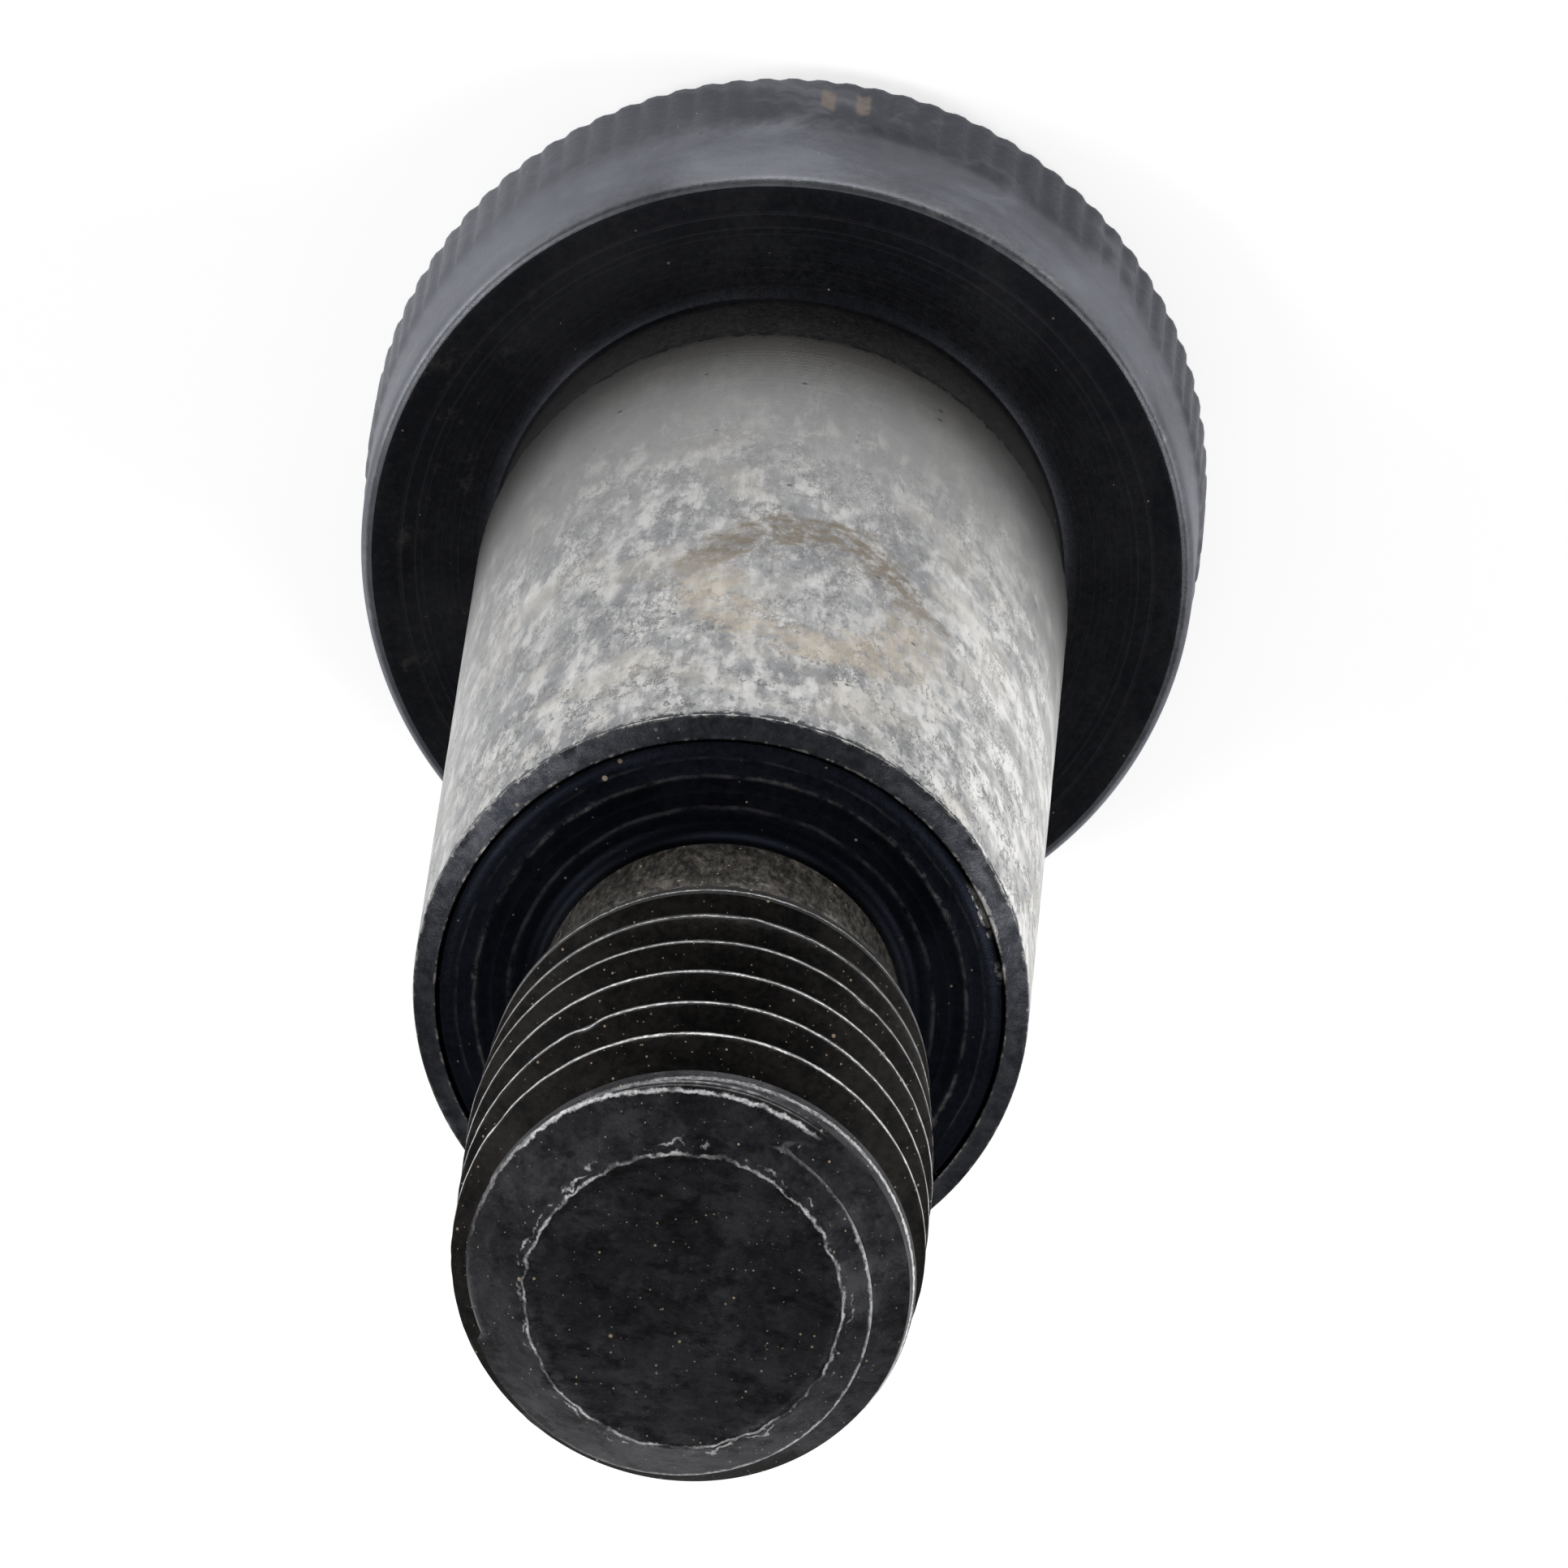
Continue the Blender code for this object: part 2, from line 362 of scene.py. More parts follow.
# uneven crest: low and high spots and a few knocks
flat_angle = (S - root0) / PITCH * TAU
def helix_noise(seed, count, top, size):
    r = np.random.default_rng(seed)
    out = np.zeros(S.shape)
    for _ in range(count):
        k = r.uniform(2, top)
        out += r.uniform(0.3, 1.0) * np.sin(k * flat_angle + r.uniform(0, TAU))
    return out * size / math.sqrt(count / 2)
R = R + np.where(crest, helix_noise(301, 26, 70, 0.0045), 0)
R = R - np.where(crest, np.clip(helix_noise(303, 24, 44, 0.018) - 0.026, 0, 0.04), 0)
knock = [(41.5, 303, 0.07), (36.6, 264, -0.035), (38.3, 232, 0.05), (39.9, 205, 0.05), (42.9, 330, 0.05), (40.1, 95, 0.06), (42.5, 120, 0.06)]
for z0, deg, d in knock:
    da = (theta - math.radians(deg) + math.pi) % TAU - math.pi
    spot = np.exp(-(da / 0.05) ** 2 - ((S - z0) / 0.35) ** 2)
    R = R - np.where(crest, d * spot, 0)

amount = np.clip(0.50 + 0.22 * helix_noise(305, 20, 30, 1.0) + 0.22 * smooth(41.6, 43.6, S), 0.12, 1.0)
amount *= smooth(z_neck + 0.2, z_ramp + 0.4, S) * 0.4 + 0.6
rim_amount = np.clip(0.60 + 0.45 * periodic(207, 30, 54, ab, 0.35), 0.1, 1)[:, None]
W = np.where(S > z_cone + 0.4, rim_amount + 0 * S, amount)
W = np.clip(W, 0, 1)



def past_edge(i):
    """How far, along the axis, column i's rows are past the line where the groove leaves the chamfer."""
    u = U[i]
    steep = np.where(np.abs(u) < 0.101, 0.0, np.where(np.abs(u) < 0.21, 8.248 * np.abs(u), 1 / TAN))
    steep = np.where(np.abs(u) > HALF_OPEN, 0.0, steep) * np.sign(u)
    cone = np.where(S[i] > z_cone, -1 / math.tan(TIP_SLOPE), -0.28)
    return np.clip((thread_radius(u) - blank_radius(S[i])) / np.maximum(np.abs(steep - cone), 0.16), -2, 2)


X = R * np.cos(theta)
Y = R * np.sin(theta)
lattice = np.zeros(S.shape, int)
for i in range(NB):
    lattice[i] = body.add(np.column_stack([X[i], Y[i], Zc[i]]), W[i],
                          np.column_stack([S[i] - TOTAL, S[i] - z_cone, np.abs(U[i]),
                                           past_edge(i)]))


def at(i, j):
    """Lattice point, where column NB is column 0 one pitch further on."""
    if i == NB:
        return lattice[0, j + K]
    return lattice[i, j]


def flagged(i, j):
    if i == NB:
        return flag[0, j + K]
    return flag[i, j]


zone_of_row = lambda s: TIP if s > z_cone - 0.4 else THREAD
for i in range(NB):
    last = M - K if i == NB - 1 else M
    for j in range(last):
        a, b, c, d = at(i, j), at(i + 1, j), at(i + 1, j + 1), at(i, j + 1)
        zone = TIP if S[i, j] > z_cone - 0.55 else NECK if S[i, j] < z_neck + 0.12 else THREAD
        f = [flagged(i, j), flagged(i + 1, j), flagged(i + 1, j + 1), flagged(i, j + 1)]
        if f[1] and f[1] == f[3]:
            body.face((a, b, d), zone)
            body.face((b, c, d), zone)
        elif f[0] and f[0] == f[2]:
            body.face((a, b, c), zone)
            body.face((a, c, d), zone)
        else:
            body.face((a, b, c, d), zone)
# start of the lattice: from the neck's level ring to the first helical row
for i in range(NB - 1):
    body.face((neck_ring[i], neck_ring[i + 1], at(i + 1, 0), at(i, 0)), NECK)
corner = at(NB - 1, 0)
body.face((neck_ring[NB - 1], neck_ring[0], corner), NECK)
body.face((corner, neck_ring[0], lattice[0, 0]), NECK)
for j in range(K):
    body.face((corner, lattice[0, j], lattice[0, j + 1]), NECK)
# end of the lattice: the last column meets the seam, and the flat closes round its centre
seam_end = lattice[0, M]
for j in range(M - K, M):
    body.face((lattice[NB - 1, j], seam_end, lattice[NB - 1, j + 1]), TIP)
centre = body.add([[0.05, 0.08, TOTAL - 0.04]], 0.0, [[2.0, 4.0, 0.0, 1.0]])[0]
for i in range(NB):
    nxt = lattice[i + 1, M] if i < NB - 1 else seam_end
    body.face((lattice[i, M], nxt, centre), TIP)

# ------------------------------------------------------------------ the mesh
co = np.vstack(body.co) / 1000.0
mesh = bpy.data.meshes.new("shoulder_screw_body")
mesh.from_pydata(co.tolist(), [], body.faces)
mesh.validate(verbose=False)
mesh.update()
attr = mesh.attributes.new("wear", "FLOAT", "POINT")
attr.data.foreach_set("value", np.concatenate([np.asarray(w, float) for w in body.wear]).astype(np.float32))
marks = np.vstack(body.marks)
for column, title in enumerate(("lip", "cone", "pitch_place", "cut")):
    extra = mesh.attributes.new(title, "FLOAT", "POINT")
    extra.data.foreach_set("value", np.ascontiguousarray(marks[:, column], dtype=np.float32))
screw = bpy.data.objects.new("shoulder_screw_body", mesh)
bpy.context.scene.collection.objects.link(screw)
mesh.polygons.foreach_set("material_index", np.array(body.zone, dtype=np.int32))
mesh.polygons.foreach_set("use_smooth", np.ones(len(mesh.polygons), dtype=bool))
mesh.set_sharp_from_angle(angle=math.radians(38))
print("triangles", sum(len(p.vertices) - 2 for p in mesh.polygons))


# ------------------------------------------------------------------ materials
class Nodes:
    """Short-hand for a material's node tree; coordinates are millimetres."""

    def __init__(self, name):
        self.mat = bpy.data.materials.new(name)
        self.mat.use_nodes = True
        self.tree = self.mat.node_tree
        self.shader = self.tree.nodes["Principled BSDF"]
        coords = self.new("ShaderNodeTexCoord")
        scaled = self.new("ShaderNodeVectorMath", operation="SCALE")
        self.tree.links.new(coords.outputs["Object"], scaled.inputs[0])
        scaled.inputs["Scale"].default_value = 1000.0
        self.p = scaled.outputs[0]
        split = self.new("ShaderNodeSeparateXYZ")
        self.tree.links.new(self.p, split.inputs[0])
        self.x, self.y, self.z = split.outputs[0], split.outputs[1], split.outputs[2]
        self.r = self.math("SQRT", self.math("ADD", self.math("MULTIPLY", self.x, self.x),
                                             self.math("MULTIPLY", self.y, self.y)))
        self.angle = self.math("ARCTAN2", self.y, self.x)

    def new(self, kind, **props):
        node = self.tree.nodes.new(kind)
        for k, v in props.items():
            setattr(node, k, v)
        return node

    def put(self, socket, value):
        if isinstance(value, bpy.types.NodeSocket):
            self.tree.links.new(value, socket)
        elif isinstance(value, (tuple, list)) and len(value) == 3 and socket.type == "RGBA":
            socket.default_value = (*value, 1.0)
        else:
            socket.default_value = value

    def math(self, op, a, b=0.0, c=0.0, clamp=False):
        node = self.new("ShaderNodeMath", operation=op, use_clamp=clamp)
        for socket, value in zip(node.inputs, (a, b, c)):
            self.put(socket, value)
        return node.outputs[0]

    def vec(self, x, y, z):
        node = self.new("ShaderNodeCombineXYZ")
        for socket, value in zip(node.inputs, (x, y, z)):
            self.put(socket, value)
        return node.outputs[0]

    def times(self, v, by):
        node = self.new("ShaderNodeVectorMath", operation="MULTIPLY")
        self.put(node.inputs[0], v)
        self.put(node.inputs[1], by)
        return node.outputs[0]

    def turned(self, v, degrees, axis="Z_AXIS"):
        node = self.new("ShaderNodeVectorRotate", rotation_type=axis)
        self.put(node.inputs["Vector"], v)
        node.inputs["Angle"].default_value = math.radians(degrees)
        return node.outputs[0]

    def noise(self, v, scale, detail=4.0, rough=0.55, warp=0.0, lac=2.0):
        node = self.new("ShaderNodeTexNoise")
        self.put(node.inputs["Vector"], v)
        node.inputs["Scale"].default_value = scale
        node.inputs["Detail"].default_value = detail
        node.inputs["Roughness"].default_value = rough
        node.inputs["Lacunarity"].default_value = lac
        node.inputs["Distortion"].default_value = warp
        return node.outputs["Fac"]

    def line_noise(self, value, scale, detail=3.0, rough=0.6):
        node = self.new("ShaderNodeTexNoise", noise_dimensions="1D")
        self.put(node.inputs["W"], value)
        node.inputs["Scale"].default_value = scale
        node.inputs["Detail"].default_value = detail
        node.inputs["Roughness"].default_value = rough
        return node.outputs["Fac"]

    def band(self, value, low, high, to_low=0.0, to_high=1.0):
        node = self.new("ShaderNodeMapRange", interpolation_type="SMOOTHSTEP")
        for socket, v in zip(node.inputs, (value, low, high, to_low, to_high)):
            self.put(socket, v)
        return node.outputs[0]

    def specks(self, v, scale, size, share, seed=0.0):
        """Small round dots, share of the cells filled, in 0..1."""
        node = self.new("ShaderNodeTexVoronoi", feature="F1")
        moved = self.new("ShaderNodeVectorMath", operation="ADD")
        self.put(moved.inputs[0], v)
        moved.inputs[1].default_value = (seed, seed * 1.7, seed * 0.6)
        self.put(node.inputs["Vector"], moved.outputs[0])
        node.inputs["Scale"].default_value = scale
        pick = self.new("ShaderNodeSeparateColor")
        self.put(pick.inputs[0], node.outputs["Color"])
        chosen = self.math("GREATER_THAN", pick.outputs[0], 1.0 - share)
        wobble = self.math("MULTIPLY", pick.outputs[1], size)
        near = self.band(node.outputs["Distance"], self.math("MULTIPLY", wobble, 0.55), wobble, 1.0, 0.0)
        return self.math("MULTIPLY", near, chosen)

    def scratches(self, v, degrees, across, along, width, share, seed=0.0):
        """Straight hair lines in one direction."""
        w = self.times(self.turned(v, degrees), (across, along, along))
        node = self.new("ShaderNodeTexVoronoi", feature="F1")
        moved = self.new("ShaderNodeVectorMath", operation="ADD")
        self.put(moved.inputs[0], w)
        moved.inputs[1].default_value = (seed, seed * 0.7, seed * 1.3)
        self.put(node.inputs["Vector"], moved.outputs[0])
        node.inputs["Scale"].default_value = 1.0
        pick = self.new("ShaderNodeSeparateColor")
        self.put(pick.inputs[0], node.outputs["Color"])
        chosen = self.math("GREATER_THAN", pick.outputs[2], 1.0 - share)
        near = self.band(node.outputs["Distance"], width * 0.4, width, 1.0, 0.0)
        return self.math("MULTIPLY", near, chosen)

    def mix(self, factor, a, b):
        node = self.new("ShaderNodeMix", data_type="RGBA")
        self.put(node.inputs[0], factor)
        self.put(node.inputs[6], a)
        self.put(node.inputs[7], b)
        return node.outputs[2]

    def lerp(self, factor, a, b):
        node = self.new("ShaderNodeMix", data_type="FLOAT")
        self.put(node.inputs[0], factor)
        self.put(node.inputs[2], a)
        self.put(node.inputs[3], b)
        return node.outputs[0]

    def biggest(self, *values):
        out = values[0]
        for v in values[1:]:
            out = self.math("MAXIMUM", out, v)
        return out

    def wear(self, title="wear"):
        node = self.new("ShaderNodeAttribute", attribute_name=title)
        return node.outputs["Fac"]

    def near(self, value, middle, half, soft):
        """1 where value is within half of middle, with a soft edge."""
        gap = self.math("ABSOLUTE", self.math("SUBTRACT", value, middle))
        return self.band(gap, half, half + soft, 1.0, 0.0)

    def bump(self, height, distance, strength=1.0, below=None):
        node = self.new("ShaderNodeBump")
        node.inputs["Strength"].default_value = strength
        node.inputs["Distance"].default_value = distance
        self.put(node.inputs["Height"], height)
        if below is not None:
            self.put(node.inputs["Normal"], below)
        return node.outputs[0]

    def finish(self, color, rough, normal, metal=1.0):
        self.put(self.shader.inputs["Base Color"], color)
        self.put(self.shader.inputs["Roughness"], rough)
        self.put(self.shader.inputs["Metallic"], metal)
        self.put(self.shader.inputs["Normal"], normal)
        return self.mat


TAN_DUST = (0.56, 0.44, 0.31)
BRIGHT = (0.66, 0.645, 0.62)


def oxide(name, dark, light, rough, cloud=0.5, dust=0.10, rings=0.0, edge=0.5, grain=1.0, side=False, end=False, metal=1.0):
    """Black oxide on steel: cloudy near-black, fine grain, dust, and rubbed edges."""
    n = Nodes(name)
    clouds = n.noise(n.p, cloud, 5.0, 0.55, 0.6)
    fine = n.noise(n.p, 7.0, 5.0, 0.6)
    grains = n.noise(n.p, 38.0, 2.0, 0.5)
    color = n.mix(n.band(n.lerp(0.35, clouds, fine), 0.36, 0.66), dark, light)
    if rings:
        turning = n.line_noise(n.r, 9.0, 5.0, 0.7)
        color = n.mix(n.math("MULTIPLY", n.band(turning, 0.52, 0.75), rings), color,
                      tuple(min(1.0, c * 2.6 + 0.01) for c in light))
    color = n.mix(n.band(grains, 0.62, 0.80, 0.0, 0.35), color, tuple(c * 2.2 + 0.008 for c in light))
    if metal < 0.5:
        grain_mid = n.noise(n.times(n.p, (1.0, 1.0, 0.42)), 6.5, 7.0, 0.80)
        color = n.mix(n.band(grain_mid, 0.40, 0.54, 0.90, 0.0), color, tuple(c * 0.20 for c in dark))
        color = n.mix(n.band(grain_mid, 0.54, 0.66, 0.0, 0.60), color, tuple(c * 2.4 for c in light))
    if side:
        # painted shade: the knurled band is painted darker than the turned one, standing in for the shade in its
        # grooves
        rolled_band_shade = n.band(n.math("ADD", n.z, n.math("MULTIPLY", n.math("SUBTRACT", clouds, 0.5), 0.8)), 2.9, 3.7, 0.80, 0.0)
        color = n.mix(rolled_band_shade, color, tuple(c * 0.22 for c in dark))
        patch = n.noise(n.times(n.p, (1.0, 1.0, 1.6)), 0.34, 4.0, 0.6, 0.7)
        color = n.mix(n.band(patch, 0.46, 0.72, 0.0, 0.30), color, tuple(c * 1.7 for c in light))
        color = n.mix(n.band(patch, 0.28, 0.52, 0.30, 0.0), color, tuple(c * 0.5 for c in dark))
        # painted light: the head's side is painted lighter towards +x
        color = n.mix(n.band(n.x, 1.0, 8.0, 0.0, 0.42), color, tuple(c * 1.3 for c in light))
        front = n.band(n.y, -8.4, -8.2, 1.0, 0.0)
        for across in (0.12, -0.63):
            smear = n.math("MULTIPLY", n.near(n.x, across, 0.10, 0.10), n.near(n.z, 1.9, 0.35, 0.35))
            smear = n.math("MULTIPLY", n.math("MULTIPLY", smear, front), n.band(fine, 0.30, 0.50))
            color = n.mix(n.math("MULTIPLY", smear, 0.55), color, (0.26, 0.19, 0.135))
    hair = n.biggest(n.scratches(n.p, 20, 9.0, 0.55, 0.055, 0.10, 3.0),
                     n.scratches(n.p, -48, 8.0, 0.5, 0.05, 0.08, 9.0),
                     n.scratches(n.p, 83, 9.0, 0.6, 0.05, 0.08, 17.0))
    color = n.mix(n.math("MULTIPLY", hair, 0.30), color, tuple(c * 2.6 + 0.03 for c in light))
    dusty = n.biggest(n.specks(n.p, 2.6, 0.17, dust), n.specks(n.p, 5.2, 0.20, dust, 5.0))
    spots = n.specks(n.p, 1.1, 0.10, dust * 0.8, 8.0)
    color = n.mix(n.math("MULTIPLY", dusty, 0.55), color, TAN_DUST)
    color = n.mix(n.math("MULTIPLY", spots, 0.75), color, (0.62, 0.52, 0.40))
    if end:
        step = R_SHOULDER - 0.475
        rub = n.band(n.noise(n.p, 2.4, 7.0, 0.72), 0.36, 0.64, 0.35, 1.0)
        color = n.mix(n.math("MULTIPLY", n.band(n.r, step - 0.01, step + 0.03), rub), color, (0.078, 0.081, 0.090))
        flecks = n.biggest(n.near(n.r, step + 0.01, 0.012, 0.04), n.near(n.r, R_SHOULDER - 0.03, 0.01, 0.04))
        flecks = n.math("MULTIPLY", flecks, n.band(n.noise(n.p, 4.2, 5.0, 0.7), 0.50, 0.64))
        color = n.mix(n.math("MULTIPLY", flecks, 0.55), color, (0.50, 0.48, 0.45))
        # painted shade: near-black in the groove just inside the step
        color = n.mix(n.math("MULTIPLY", n.near(n.r, step - 0.045, 0.03, 0.03), 0.9), color, (0.004, 0.004, 0.005))
        # painted reflections: broken, wavering light rings on the end face at radii 5.04, 4.36 and 5.42
        wobble = n.math("MULTIPLY", n.math("SUBTRACT", n.noise(n.p, 0.9, 3.0, 0.5), 0.5), 0.10)
        radius = n.math("ADD", n.r, wobble)
        broken = n.band(n.noise(n.p, 1.6, 5.0, 0.65), 0.36, 0.62)
        reflection_arcs = n.biggest(n.near(radius, 5.04, 0.012, 0.05), n.math("MULTIPLY", n.near(radius, 4.36, 0.015, 0.05), 0.8),
                         n.math("MULTIPLY", n.near(radius, 5.42, 0.006, 0.04), 0.45))
        color = n.mix(n.math("MULTIPLY", n.math("MULTIPLY", reflection_arcs, broken), 0.50), color, (0.20, 0.20, 0.21))
        # painted shade: darker towards the inner corner at the neck's fillet
        color = n.mix(n.band(n.r, 4.02, 4.30, 0.92, 0.0), color, (0.006, 0.007, 0.010))
    if name.endswith("face"):
        color = n.mix(n.math("MULTIPLY", n.band(n.z, 6.42, 6.9), n.band(clouds, 0.30, 0.60, 0.6, 1.0)), color, (0.125, 0.120, 0.118))
        smudge = n.math("MULTIPLY", n.band(n.noise(n.p, 1.3, 6.0, 0.7), 0.55, 0.70), n.band(n.x, 5.4, 6.6))
        color = n.mix(n.math("MULTIPLY", smudge, 0.35), color, (0.16, 0.15, 0.13))
    rubbed = n.math("MULTIPLY", n.wear(), n.band(n.noise(n.p, 4.2, 6.0, 0.68), 0.30, 0.60))
    rubbed = n.band(rubbed, 0.18, 0.62, 0.0, edge)
    color = n.mix(rubbed, color, BRIGHT)
    roughness = n.lerp(rubbed, n.band(n.lerp(0.5, fine, grains), 0.3, 0.75, rough - 0.09, rough + 0.10), 0.30)
    roughness = n.lerp(dusty, roughness, 0.8)
    normal = n.bump(n.lerp(0.55, grains, fine), 0.00002 * grain, 0.55)
    normal = n.bump(n.math("SUBTRACT", n.math("MULTIPLY", dusty, 0.6), n.math("MULTIPLY", hair, 0.5)), 0.00003, 0.6, normal)
    solid = n.math("MULTIPLY", n.math("SUBTRACT", 1.0, n.biggest(n.math("MULTIPLY", dusty, 0.8), spots)), metal)
    return n.finish(color, roughness, normal, solid)


def ground(name):
    """Ground steel: flaky light patches, streaks along the axis, stains, black left at the ends."""
    n = Nodes(name)
    cell = n.noise(n.times(n.p, (1.0, 1.0, 0.6)), 0.60, 6.0, 0.60, 0.15)
    flake = n.noise(n.times(n.p, (1.0, 1.0, 0.42)), 1.55, 8.0, 0.64, 0.12)
    crust = n.noise(n.times(n.turned(n.p, 8, "X_AXIS"), (1.0, 1.0, 0.42)), 2.5, 7.0, 0.63, 0.12)
    streak = n.noise(n.times(n.p, (5.0, 5.0, 0.45)), 1.0, 5.0, 0.6)
    grit = n.noise(n.times(n.p, (1.0, 1.0, 0.40)), 5.6, 6.0, 0.72)
    lines = n.line_noise(n.z, 16.0, 4.0, 0.7)
    base = n.mix(n.band(n.lerp(0.5, cell, flake), 0.40, 0.60), (0.225, 0.23, 0.24), (0.40, 0.40, 0.40))
    base = n.mix(n.band(flake, 0.49, 0.61, 0.0, 0.66), base, (0.60, 0.595, 0.585))
    upper = n.band(n.z, 20.0, 27.0, 0.50, 1.0)
    base = n.mix(n.math("MULTIPLY", n.band(crust, 0.50, 0.62, 0.0, 0.52), upper), base, (0.74, 0.73, 0.715))
    # whiter lumps on one flank
    lumps = n.math("MULTIPLY", n.band(n.noise(n.p, 0.8, 6.0, 0.64), 0.43, 0.57), n.band(n.x, -5.4, -2.2, 1.0, 0.0))
    base = n.mix(n.band(n.x, -6.0, -3.0, 0.40, 0.0), base, (0.66, 0.655, 0.645))
    base = n.mix(n.math("MULTIPLY", lumps, 0.88), base, (0.90, 0.89, 0.87))
    base = n.mix(n.math("MULTIPLY", n.band(crust, 0.37, 0.48, 0.68, 0.0), upper), base, (0.17, 0.175, 0.185))
    base = n.mix(n.band(streak, 0.56, 0.72, 0.0, 0.50), base, (0.17, 0.17, 0.175))
    base = n.mix(n.math("MULTIPLY", n.band(grit, 0.57, 0.67, 0.0, 0.75), upper), base, (0.10, 0.098, 0.096))
    base = n.mix(n.band(grit, 0.34, 0.44, 0.45, 0.0), base, (0.66, 0.655, 0.64))
    # long dark scores by the threaded end
    score = n.noise(n.times(n.p, (2.2, 2.2, 1.0)), 1.0, 7.0, 0.74)
    score = n.math("MULTIPLY", n.near(score, 0.5, 0.008, 0.018), n.band(n.noise(n.p, 0.7, 3.0, 0.5), 0.44, 0.54))
    base = n.mix(n.math("MULTIPLY", score, n.band(n.z, 22.0, 27.0, 0.60, 0.90)), base, (0.07, 0.07, 0.072))
    base = n.mix(n.band(lines, 0.58, 0.75, 0.0, 0.18), base, (0.30, 0.30, 0.30))
    cream = n.band(n.noise(n.p, 0.42, 4.0, 0.6), 0.50, 0.66)
    base = n.mix(n.math("MULTIPLY", cream, 0.35), base, (0.50, 0.46, 0.39))
    # smoother by the head, with a painted reflection of the head's dark underside: greyer there, darker still right by
    # the head
    smooth_and_reflection_near_head = n.band(n.math("ADD", n.z, n.math("MULTIPLY", n.math("SUBTRACT", flake, 0.5), 8.0)), 12.0, 19.5, 1.0, 0.0)
    base = n.mix(n.math("MULTIPLY", smooth_and_reflection_near_head, 0.84), base, (0.315, 0.315, 0.31))
    base = n.mix(n.band(n.z, 8.9, 12.0, 0.50, 0.0), base, (0.16, 0.145, 0.125))
    # an old brown stain: a ring on one side, darker on its head half
    lateral = n.math("ADD", n.math("MULTIPLY", n.x, 0.990), n.math("MULTIPLY", n.y, -0.139))
    a = n.math("DIVIDE", lateral, 2.3)
    b = n.math("DIVIDE", n.math("SUBTRACT", n.z, 22.7), 3.0)
    ring_at = n.math("SQRT", n.math("ADD", n.math("MULTIPLY", a, a), n.math("MULTIPLY", b, b)))
    ring_at = n.math("ADD", ring_at, n.math("MULTIPLY", n.math("SUBTRACT", n.noise(n.p, 1.5, 5.0, 0.65), 0.5), 1.1))
    ring = n.math("MULTIPLY", n.near(ring_at, 1.0, 0.14, 0.24), n.band(n.y, -3.0, -2.0, 1.0, 0.0))
    ring = n.math("MULTIPLY", ring, n.band(n.noise(n.p, 2.6, 6.0, 0.7), 0.36, 0.56))
    dark_half = n.band(n.z, 21.0, 23.4, 1.0, 0.0)
    base = n.mix(n.math("MULTIPLY", n.math("MULTIPLY", ring, dark_half), 0.85), base, (0.165, 0.13, 0.085))
    base = n.mix(n.math("MULTIPLY", n.math("MULTIPLY", ring, n.math("SUBTRACT", 1.0, dark_half)), 0.50), base, (0.50, 0.42, 0.31))
    pits = n.specks(n.p, 2.4, 0.20, 0.18, 3.0)
    base = n.mix(n.math("MULTIPLY", pits, 0.8), base, (0.05, 0.045, 0.04))
    marks = n.biggest(n.scratches(n.p, 0, 5.0, 0.8, 0.05, 0.15, 4.0), n.scratches(n.p, 62, 6.0, 0.7, 0.05, 0.12, 11.0))
    base = n.mix(n.math("MULTIPLY", marks, 0.45), base, (0.12, 0.12, 0.12))
    # the black that the grinding left, with a jagged border
    border = n.math("ADD", n.math("MULTIPLY", n.math("SUBTRACT", n.noise(n.p, 3.4, 7.0, 0.74), 0.5), 1.15), n.z)
    black = n.biggest(n.band(border, RIM_BLACK - 0.025, RIM_BLACK + 0.025), n.band(border, 8.93, 9.02, 1.0, 0.0))
    color = n.mix(black, base, (0.035, 0.037, 0.042))
    rough = n.lerp(n.band(flake, 0.45, 0.65), 0.34, 0.48)
    rough = n.lerp(black, n.lerp(smooth_and_reflection_near_head, rough, 0.30), 0.42)
    height = n.lerp(0.5, n.lerp(0.5, flake, crust), n.lerp(0.5, grit, streak))
    normal = n.bump(n.lerp(smooth_and_reflection_near_head, height, 0.5), 0.00014, 0.65)
    normal = n.bump(lines, 0.00002, 0.25, normal)
    return n.finish(color, rough, normal)


